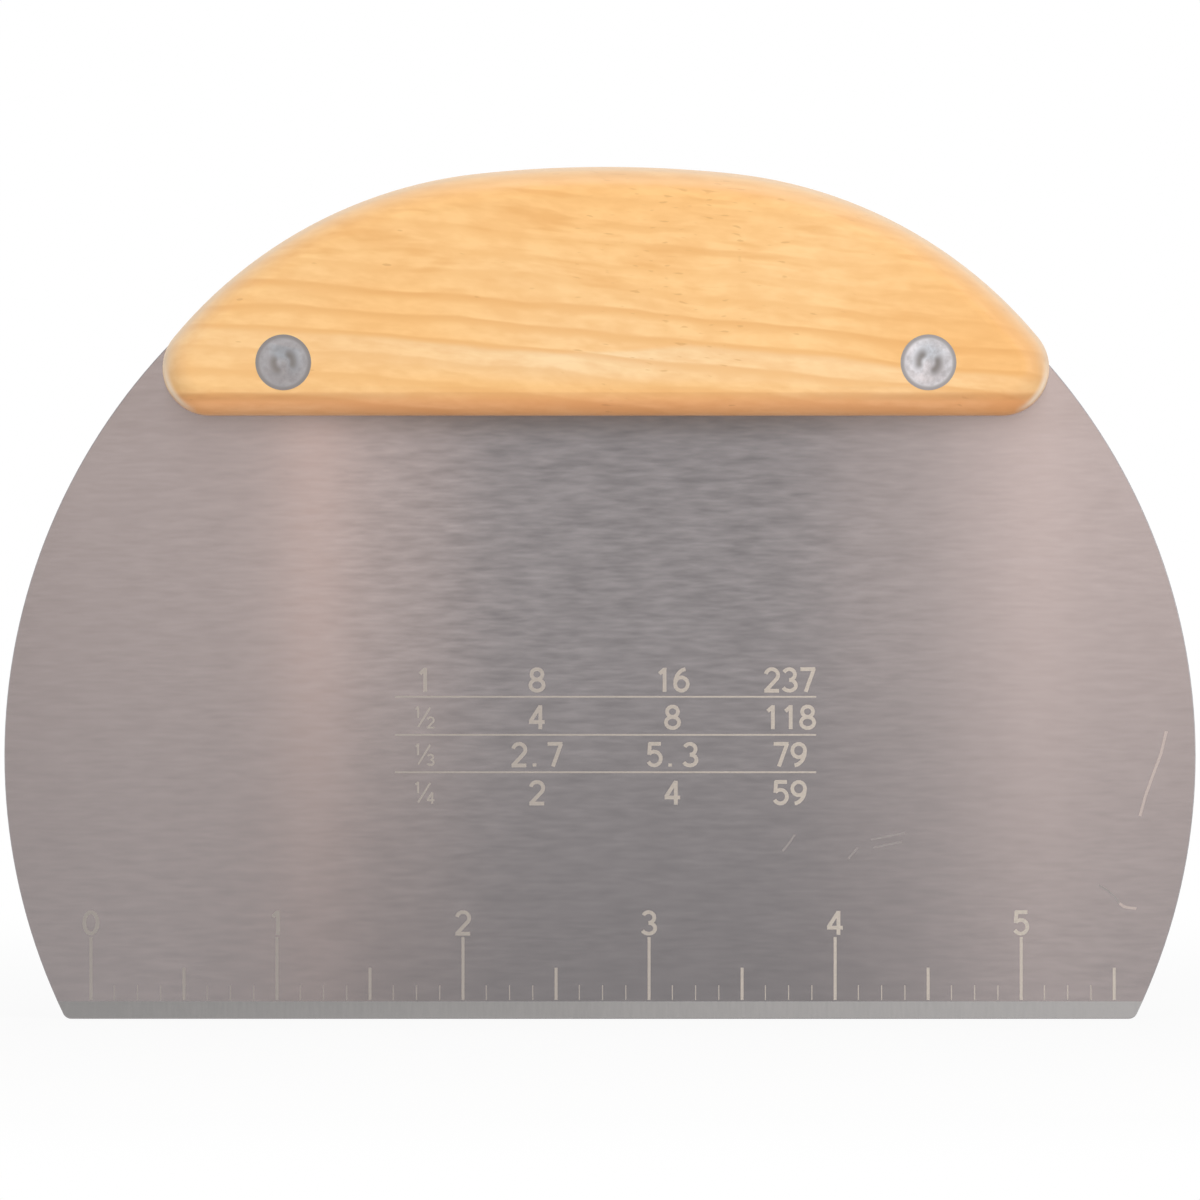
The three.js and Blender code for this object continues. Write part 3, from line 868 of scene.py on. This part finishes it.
def add_inputs(tree, inputs):
    """Gives a geometry tree its named inputs and one geometry output, and returns the inputs' identifiers."""
    identifiers = {}
    for name, kind in inputs.items():
        identifiers[name] = tree.interface.new_socket(name, in_out="INPUT", socket_type=kind).identifier
    tree.interface.new_socket("Geometry", in_out="OUTPUT", socket_type="NodeSocketGeometry")
    return identifiers


def finish_tree(tree, geometry, material):
    """Ends a geometry tree in plain geometry with its material."""
    real = add_node(tree, "GeometryNodeRealizeInstances", {"Geometry": geometry})
    finished = add_node(tree, "GeometryNodeSetMaterial", {"Geometry": real, "Material": material})
    add_node(tree, "NodeGroupOutput", {"Geometry": finished})


def scale_tree():
    """A row of upright marks: longest at whole inches, shorter at halves, shortest between."""
    tree = bpy.data.node_groups.new("Inch scale", "GeometryNodeTree")
    add = partial(add_node, tree)
    identifiers = add_inputs(
        tree,
        {
            "First mark": "NodeSocketVector",
            "Pitch": "NodeSocketFloat",
            "Marks": "NodeSocketInt",
            "Divisions": "NodeSocketInt",
            "Inch mark": "NodeSocketFloat",
            "Half mark": "NodeSocketFloat",
            "Small mark": "NodeSocketFloat",
            "Mark width": "NodeSocketFloat",
            "Small width": "NodeSocketFloat",
            "Thickness": "NodeSocketFloat",
            "Material": "NodeSocketMaterial",
        },
    )
    given = add("NodeGroupInput").node.outputs
    step = add("ShaderNodeCombineXYZ", {"X": given["Pitch"]})
    row = add(
        "GeometryNodeMeshLine",
        {"Count": given["Marks"], "Start Location": given["First mark"], "Offset": step},
    )
    index = add("GeometryNodeInputIndex")
    half = add("ShaderNodeMath", {0: given["Divisions"], 1: 2.0}, operation="DIVIDE")
    off_inch = add("ShaderNodeMath", {0: index, 1: given["Divisions"]}, operation="FLOORED_MODULO")
    off_half = add("ShaderNodeMath", {0: index, 1: half}, operation="FLOORED_MODULO")
    shorter = add(
        "GeometryNodeSwitch",
        {"Switch": off_half, "False": given["Half mark"], "True": given["Small mark"]},
        input_type="FLOAT",
    )
    length = add(
        "GeometryNodeSwitch",
        {"Switch": off_inch, "False": given["Inch mark"], "True": shorter},
        input_type="FLOAT",
    )
    width = add(
        "GeometryNodeSwitch",
        {"Switch": off_half, "False": given["Mark width"], "True": given["Small width"]},
        input_type="FLOAT",
    )
    size = add("ShaderNodeCombineXYZ", {"X": width, "Y": given["Thickness"], "Z": length})
    block = add("GeometryNodeMeshCube", {"Size": (1.0, 1.0, 1.0)})
    standing = add("GeometryNodeTransform", {"Geometry": block, "Translation": (0.0, 0.0, 0.5)})
    marks = add("GeometryNodeInstanceOnPoints", {"Points": row, "Instance": standing, "Scale": size})
    finish_tree(tree, marks, given["Material"])
    return tree, identifiers


def stroke_tree():
    """A flat band drawn along each line of a mesh."""
    tree = bpy.data.node_groups.new("Etched strokes", "GeometryNodeTree")
    add = partial(add_node, tree)
    identifiers = add_inputs(
        tree,
        {
            "Lines": "NodeSocketGeometry",
            "Width": "NodeSocketFloat",
            "Thickness": "NodeSocketFloat",
            "Material": "NodeSocketMaterial",
        },
    )
    given = add("NodeGroupInput").node.outputs
    paths = add("GeometryNodeMeshToCurve", {"Mesh": given["Lines"]})
    turned = add("GeometryNodeSetCurveNormal", {"Curve": paths, "Normal": (0.0, 1.0, 0.0)}, mode="FREE")
    band = add(
        "GeometryNodeCurvePrimitiveQuadrilateral", {"Width": given["Thickness"], "Height": given["Width"]}
    )
    strokes = add("GeometryNodeCurveToMesh", {"Curve": turned, "Profile Curve": band, "Fill Caps": True})
    finish_tree(tree, strokes, given["Material"])
    return tree, identifiers


def run_tree(piece, tree, identifiers, values):
    """Runs a geometry tree on a piece with the given inputs, and keeps the result as its mesh."""
    modifier = piece.modifiers.new(tree.name, "NODES")
    modifier.node_group = tree
    for name, value in values.items():
        modifier[identifiers[name]] = value
    plain_mesh(piece)


def bow(centre, radii, start, end, steps=14):
    """Points along an arc of an ellipse, with the angles in degrees."""
    turn = [math.radians(start + (end - start) * i / steps) for i in range(steps + 1)]
    return [(centre[0] + radii[0] * math.cos(a), centre[1] + radii[1] * math.sin(a)) for a in turn]


# A figure is one unit high. Its width, the step to the next one, and how much wider than that all is drawn
FIGURE_WIDTH = 0.56
FIGURE_PITCH = 0.75
FIGURE_SPREAD = 1.1
# Strokes of each figure, and a nine is a six turned round
SIX = [bow((0.5, 0.34), (0.48, 0.66), 96, 180), bow((0.28, 0.31), (0.27, 0.31), 0, 360)]
FIGURES = {
    "0": [bow((0.28, 0.5), (0.28, 0.5), 0, 360)],
    "1": [[(0.1, 0.78), (0.32, 1.0)], [(0.32, 1.06), (0.32, -0.05)]],
    "2": [bow((0.28, 0.72), (0.26, 0.28), 168, -32) + [(0.02, 0.0)], [(-0.04, 0.0), (0.58, 0.0)]],
    "3": [bow((0.26, 0.75), (0.24, 0.25), 155, -90), bow((0.26, 0.25), (0.28, 0.25), 90, -155)],
    "4": [[(0.42, -0.05), (0.42, 1.05)], [(0.42, 1.02), (0.0, 0.3)], [(-0.05, 0.28), (0.6, 0.28)]],
    "5": [
        [(0.54, 1.0), (0.03, 1.0)],
        [(0.08, 1.04), (0.05, 0.5)],
        bow((0.26, 0.32), (0.28, 0.32), 138, -152),
    ],
    "6": SIX,
    "7": [[(-0.02, 1.0), (0.6, 1.0)], [(0.55, 1.02), (0.2, -0.05)]],
    "8": [bow((0.28, 0.76), (0.23, 0.24), 0, 360), bow((0.28, 0.26), (0.28, 0.26), 0, 360)],
    "9": [[(FIGURE_WIDTH - x, 1.0 - y) for x, y in stroke] for stroke in SIX],
    ".": [[(0.18, -0.05), (0.18, 0.09)]],
    "/": [[(0.0, 0.0), (FIGURE_WIDTH, 1.0)]],
}
# Shares of a fraction's height: its figures' distance aside and up or down, their height, and its line's
FRACTION_ASIDE = 0.3
FRACTION_RISE = 0.24
FRACTION_FIGURE = 0.48
FRACTION_LINE = 0.9


def number_strokes(number, centre, height):
    """Strokes of a number, centred on a point of the blade's face."""
    strokes = []
    width = FIGURE_SPREAD * height
    middle = ((len(number) - 1) * FIGURE_PITCH + FIGURE_WIDTH) / 2
    for place, figure in enumerate(number):
        left = centre[0] + width * (place * FIGURE_PITCH - middle)
        foot = centre[1] - height / 2
        for stroke in FIGURES[figure]:
            strokes.append([(left + width * x, foot + height * y) for x, y in stroke])
    return strokes


def fraction_strokes(fraction, centre, height):
    """Strokes of a fraction: a small figure, a slanted line and a second small figure below it."""
    over, under = fraction.split("/")
    aside = FRACTION_ASIDE * height
    rise = FRACTION_RISE * height
    strokes = number_strokes(over, (centre[0] - aside, centre[1] + rise), FRACTION_FIGURE * height)
    strokes += number_strokes(under, (centre[0] + aside, centre[1] - rise), FRACTION_FIGURE * height)
    return strokes + number_strokes("/", centre, FRACTION_LINE * height)


# Strokes that cross lie a hair apart, so that no two faces share a plane
LAYER = 0.002 * MM
LAYERS = 4
# A stroke is a loop if its ends are this close
CLOSED_WITHIN = 0.001 * MM


def line_mesh(name, strokes):
    """A mesh of lines that lie on the blade's face, for a geometry tree to draw along."""
    points = []
    edges = []
    for number, stroke in enumerate(strokes):
        layer = BLADE_FACE - LAYER * (number % LAYERS)
        closed = (Vector(stroke[0]) - Vector(stroke[-1])).length < CLOSED_WITHIN
        kept = stroke[:-1] if closed else stroke
        first = len(points)
        points += [(x, layer, z) for x, z in kept]
        edges += [(first + i, first + i + 1) for i in range(len(kept) - 1)]
        if closed:
            edges.append((len(points) - 1, first))
    mesh = bpy.data.meshes.new(name)
    mesh.from_pydata(points, edges, [])
    return mesh


def draw_lines(name, strokes, width, thickness, material):
    """A piece of flat bands along lines on the blade's face."""
    piece = link_object(name, line_mesh(name, strokes))
    tree, identifiers = stroke_tree()
    run_tree(piece, tree, identifiers, {"Width": width, "Thickness": thickness, "Material": material})
    piece.data.shade_flat()
    place_piece(piece, "blade_steel")


# The table on the blade: columns from the middle, rows from the scraping edge, in millimetres
TABLE_COLUMNS = (-24.0, -8.6, 9.9, 25.9)
TABLE_ROWS = (46.3, 41.2, 36.1, 30.9)
TABLE_NUMBERS = (
    ("1", "8", "16", "237"),
    ("1/2", "4", "8", "118"),
    ("1/3", "2.7", "5.3", "79"),
    ("1/4", "2", "4", "59"),
)
TABLE_RULES = (44.0, 38.8, 33.7)
TABLE_ENDS = (-28.0, 29.5)


class SCRAPER_OT_scale(bpy.types.Operator):
    """Makes the etched inch scale, its numbers and the number table"""

    bl_idname = "scraper.scale"
    bl_label = "Scale and table"

    def execute(self, context):
        settings = context.scene.scraper_scale
        etch = etched_steel("Etched stainless steel", settings.etch, settings.worn_etch)
        scale = link_object("inch_scale", bpy.data.meshes.new("inch_scale"))
        tree, identifiers = scale_tree()
        run_tree(
            scale,
            tree,
            identifiers,
            {
                "First mark": (settings.zero, BLADE_FACE, settings.foot),
                "Pitch": INCH / settings.divisions,
                "Marks": settings.marks,
                "Divisions": settings.divisions,
                "Inch mark": settings.inch_mark,
                "Half mark": settings.half_mark,
                "Small mark": settings.small_mark,
                "Mark width": settings.mark_width,
                "Small width": settings.small_width,
                "Thickness": settings.etch_depth,
                "Material": etch,
            },
        )
        place_piece(scale, "blade_steel")

        height = settings.number_height
        number_z = settings.foot + settings.inch_mark + settings.number_gap + height / 2
        numbers = []
        fractions = []
        for inch in range(1 + settings.marks // settings.divisions):
            numbers += number_strokes(str(inch), (settings.zero + inch * INCH, number_z), height)
        for z, row in zip(TABLE_ROWS, TABLE_NUMBERS):
            for x, number in zip(TABLE_COLUMNS, row):
                centre = (x * MM, z * MM)
                if "/" in number:
                    fractions += fraction_strokes(number, centre, height)
                else:
                    numbers += number_strokes(number, centre, height)
        rules = [[(x * MM, z * MM) for x in TABLE_ENDS] for z in TABLE_RULES]
        draw_lines("etched_numbers", numbers, settings.stroke_width, settings.etch_depth, etch)
        draw_lines("etched_fractions", fractions, settings.fraction_width, settings.etch_depth, etch)
        draw_lines("table_rules", rules, settings.rule_width, settings.etch_depth, etch)
        return {"FINISHED"}


# Marks of use on the blade's front, from the middle and the scraping edge, in millimetres
SCRATCHES = (
    ((77.3, 39.3), (76.6, 36.3), (75.4, 33.1), (74.4, 30.3), (73.7, 27.7)),
    ((70.9, 15.8), (71.5, 15.35), (72.2, 15.2), (73.2, 15.1)),
)
SCUFFS = (
    ((68.1, 18.3), (69.2, 17.6), (70.3, 16.7), (70.9, 15.8)),
    ((24.9, 22.9), (25.8, 24.0), (26.6, 25.2)),
    ((33.9, 21.9), (35.2, 23.4)),
    ((37.0, 24.5), (41.6, 25.4)),
    ((37.3, 23.4), (41.2, 24.2)),
)


class SCRAPER_OT_scratches(bpy.types.Operator):
    """Makes the scratches and scuffs on the blade"""

    bl_idname = "scraper.scratches"
    bl_label = "Scratches"

    def execute(self, context):
        settings = context.scene.scraper_scratches
        bare = etched_steel("Scratched stainless steel", settings.scratch, settings.scratch)
        rubbed = etched_steel("Scuffed stainless steel", settings.scuff, settings.scuff)
        wear = (
            ("blade_scratches", SCRATCHES, settings.scratch_width, bare),
            ("blade_scuffs", SCUFFS, settings.scuff_width, rubbed),
        )
        for name, marks, width, metal in wear:
            lines = [[(x * MM, z * MM) for x, z in mark] for mark in marks]
            draw_lines(name, lines, width, settings.scratch_depth, metal)
        return {"FINISHED"}


# Half the floor's width, and how white it looks by distance from the scraper, in metres
FLOOR_HALF = 6.0
FLOOR_WHITENESS = (0.1, 0.5, 0.92, 1.0)


def add_floor(settings):
    """A wide white floor, which looks white from all sides and still takes a soft shadow."""
    mesh = bpy.data.meshes.new("floor")
    corners = [(FLOOR_HALF * x, FLOOR_HALF * y, 0.0) for x, y in ((-1, -1), (1, -1), (1, 1), (-1, 1))]
    mesh.from_pydata(corners, [], [(0, 1, 2, 3)])
    material, add = add_material("White floor")
    rays = add("ShaderNodeLightPath").node.outputs
    seen = rays["Is Camera Ray"]
    for kind in ("Is Glossy Ray", "Is Transmission Ray"):
        seen = add("ShaderNodeMath", {0: seen, 1: rays[kind]}, operation="MAXIMUM")
    place = add("ShaderNodeTexCoord").node.outputs["Object"]
    distance = add("ShaderNodeVectorMath", {0: place}, operation="LENGTH")
    whiteness = add(
        "ShaderNodeMapRange", {"Value": distance, RANGE: FLOOR_WHITENESS}, interpolation_type="SMOOTHSTEP"
    )
    share = add("ShaderNodeMath", {0: seen, 1: whiteness}, operation="MULTIPLY")
    paint = add("ShaderNodeBsdfDiffuse", {"Color": with_alpha(settings.floor)})
    white = add("ShaderNodeEmission", {"Strength": 1.0})
    surface = add("ShaderNodeMixShader", {0: share, 1: paint, 2: white})
    add("ShaderNodeOutputMaterial", {"Surface": surface})
    mesh.materials.append(material)
    link_object("floor", mesh)


def add_lamp(name, place, aim, size, brightness, colour):
    """A soft box of a given brightness, which points at a place."""
    data = bpy.data.lights.new(name, "AREA")
    data.shape = "RECTANGLE"
    data.size, data.size_y = size
    data.energy = brightness * math.pi * size[0] * size[1]
    data.color = colour
    lamp = bpy.data.objects.new(name, data)
    lamp.location = place
    lamp.rotation_euler = (Vector(aim) - Vector(place)).to_track_quat("-Z", "Y").to_euler()
    bpy.context.scene.collection.objects.link(lamp)


# Upright soft panels in front of the blade, as name, distance, left and right ends, lower edge, brightness
# and colour, with sizes in millimetres. The steel shows the near panels as bands. The fills light the wood.
# Panels that overlap stand at different distances, because a mirrored ray meets only one of two in one plane.
PANELS = (
    ("Left panel", 330, (-165, -22), 30, 0.5, "#FFDCC6"),
    ("Left strip", 320, (-46, -40), 30, 1.15, "#FFCDB0"),
    ("Front wash", 340, (-85, 90), 60, 0.25, "#FFF4EE"),
    ("Right wash", 330, (35, 175), 30, 0.38, "#FFE2D0"),
    ("Right panel", 325, (53, 175), 30, 0.54, "#FFE4D6"),
    ("Right strip", 320, (63, 70), 30, 0.58, "#FFE3D2"),
    ("Left fill", 330, (-625, -185), 5, 1.1, "#FAFCFF"),
    ("Right fill", 330, (195, 635), 5, 2.1, "#FAFCFF"),
)
PANEL_TOP = 420 * MM
# The soft box above, as place, size, brightness and colour. Sizes are in metres
TOP_BOX = ((0.1, -0.45, 0.95), (0.5, 0.5), 3.8, "#FFFDFA")


def add_panels():
    """The upright soft panels."""
    for name, away, (left, right), low, brightness, colour in PANELS:
        size = ((right - left) * MM, PANEL_TOP - low * MM)
        place = Vector(((left + right) / 2 * MM, -away * MM, (PANEL_TOP + low * MM) / 2))
        add_lamp(name, place, place + Vector((0.0, 1.0, 0.0)), size, brightness, linear(colour))


# The studio's colours behind the camera and behind the scraper, and the directions between which they change
STUDIO_COLOURS = ("#8F9093", "#FFFFFF")
STUDIO_CHANGE = (-0.6, 0.3)


def add_world():
    """A studio that is white behind the scraper and grey behind the camera."""
    world = bpy.data.worlds.new("Studio")
    bpy.context.scene.world = world
    world.use_nodes = True
    world.node_tree.nodes.clear()
    add = partial(add_node, world.node_tree)
    direction = add("ShaderNodeTexCoord").node.outputs["Generated"]
    axes = add("ShaderNodeSeparateXYZ", {"Vector": direction}).node.outputs
    back = add(
        "ShaderNodeMapRange", {"Value": axes["Y"], RANGE: STUDIO_CHANGE}, interpolation_type="SMOOTHSTEP"
    )
    grey, white = (with_alpha(linear(colour)) for colour in STUDIO_COLOURS)
    colour = add("ShaderNodeMix", {"Factor": back, "A": grey, "B": white}, data_type="RGBA")
    sky = add("ShaderNodeBackground", {"Color": colour, "Strength": 1.0})
    add("ShaderNodeOutputWorld", {"Surface": sky})


# Width of the camera's sensor, in millimetres
SENSOR_WIDTH = 36.0


def add_camera(settings):
    """The photograph's camera, for a square picture."""
    data = bpy.data.cameras.new("Camera")
    data.sensor_width = SENSOR_WIDTH
    data.lens = SENSOR_WIDTH * settings.distance / settings.frame_width
    camera = bpy.data.objects.new("Camera", data)
    aim = Vector((0.0, 0.0, settings.aim_height))
    back = Vector(
        (
            math.sin(settings.azimuth) * math.cos(settings.elevation),
            -math.cos(settings.azimuth) * math.cos(settings.elevation),
            math.sin(settings.elevation),
        )
    )
    camera.location = aim + settings.distance * back
    camera.rotation_euler = (-back).to_track_quat("-Z", "Y").to_euler()
    bpy.context.scene.collection.objects.link(camera)
    bpy.context.scene.camera = camera


class SCRAPER_OT_stage(bpy.types.Operator):
    """Makes the floor, the lamps, the world and the camera"""

    bl_idname = "scraper.stage"
    bl_label = "Stage"

    def execute(self, context):
        settings = context.scene.scraper_stage
        place, size, brightness, colour = TOP_BOX
        add_floor(settings)
        add_world()
        add_panels()
        add_lamp("Top box", place, (0.0, 0.0, settings.aim_height), size, brightness, linear(colour))
        add_camera(settings)
        context.scene.view_settings.view_transform = "Standard"
        return {"FINISHED"}


class SCRAPER_PT_panel(bpy.types.Panel):
    """Lists the scraper's pieces and their settings"""

    bl_idname = "SCRAPER_PT_panel"
    bl_label = "Dough scraper"
    bl_space_type = "VIEW_3D"
    bl_region_type = "UI"
    bl_category = "Scraper"

    def draw(self, context):
        for operator, pointer in PIECES.items():
            box = self.layout.box()
            box.operator(operator.bl_idname)
            group = getattr(context.scene, pointer)
            for name in type(group).__annotations__:
                box.prop(group, name)


PIECES = {
    SCRAPER_OT_blade: "scraper_blade",
    SCRAPER_OT_handle: "scraper_handle",
    SCRAPER_OT_rivets: "scraper_rivets",
    SCRAPER_OT_scale: "scraper_scale",
    SCRAPER_OT_scratches: "scraper_scratches",
    SCRAPER_OT_stage: "scraper_stage",
}
SETTINGS = {
    "scraper_blade": BladeSettings,
    "scraper_handle": HandleSettings,
    "scraper_rivets": RivetSettings,
    "scraper_scale": ScaleSettings,
    "scraper_scratches": ScratchSettings,
    "scraper_stage": StageSettings,
}


def register():
    """Registers the settings, the operators and the panel."""
    for pointer, group in SETTINGS.items():
        bpy.utils.register_class(group)
        setattr(bpy.types.Scene, pointer, PointerProperty(type=group))
    for operator in PIECES:
        bpy.utils.register_class(operator)
    bpy.utils.register_class(SCRAPER_PT_panel)


def unregister():
    """Takes back what register did."""
    bpy.utils.unregister_class(SCRAPER_PT_panel)
    for operator in PIECES:
        bpy.utils.unregister_class(operator)
    for pointer, group in SETTINGS.items():
        delattr(bpy.types.Scene, pointer)
        bpy.utils.unregister_class(group)


def main():
    """Makes the pieces and the stage."""
    register()
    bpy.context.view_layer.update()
    bpy.ops.scraper.blade()
    bpy.ops.scraper.handle()
    bpy.ops.scraper.rivets()
    bpy.ops.scraper.scale()
    bpy.ops.scraper.scratches()
    bpy.ops.scraper.stage()


if __name__ == "__main__":
    main()
